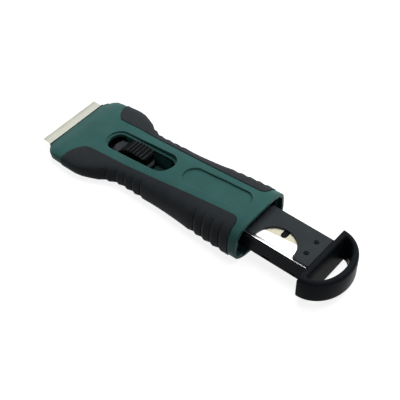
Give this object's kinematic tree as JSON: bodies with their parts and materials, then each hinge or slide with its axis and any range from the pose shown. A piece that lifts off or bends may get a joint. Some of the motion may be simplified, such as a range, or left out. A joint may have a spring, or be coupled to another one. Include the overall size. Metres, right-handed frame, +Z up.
{
  "type": "razor blade scraper",
  "caption": "Hand scraper for single-edge razor blades with a sliding thumb button, rubber side grips and a pull-out drawer of spare blades with a D-shaped ring.",
  "frame": {"origin": "on the flat underside, on the middle line, at half the length of the body from lip to mouth", "axes": "+X along the tool from the blade to the pull ring, +Y across it, +Z up out of the thumb side"},
  "size_m": [0.186, 0.0542, 0.0238],
  "materials": {
    "shell": "satin",
    "grip": "matte",
    "blade": "ground",
    "bright": "polished",
    "holder": "satin",
    "slider": "satin",
    "drawer": "satin",
    "cover": "matte"
  },
  "bodies": {
    "body": {"upper_shell": "shell", "lower_shell": "shell", "left_grip": "grip", "right_grip": "grip", "shell_screws": "bright"},
    "slider": {"thumb_slider": "slider", "slider_screw": "bright", "blade_holder": "holder", "blade_jaw": "holder", "jaw_rivets": "bright", "blade": "blade"},
    "drawer": {"drawer_tray": "drawer", "drawer_cover": "cover", "pull_ring": "drawer", "ring_pins": "drawer", "blade_spring": "bright", "spare_blade_1": "blade", "spare_blade_2": "blade", "spare_blade_3": "blade", "spare_blade_4": "blade", "spare_blade_5": "blade"}
  },
  "joints": [
    {"name": "blade_slide", "type": "slide", "parent": "body", "child": "slider", "axis": [1, 0, 0], "range_m": [0, 0.014]},
    {"name": "drawer_slide", "type": "slide", "parent": "body", "child": "drawer", "axis": [1, 0, 0], "range_m": [-0.0345, 0.006]}
  ]
}
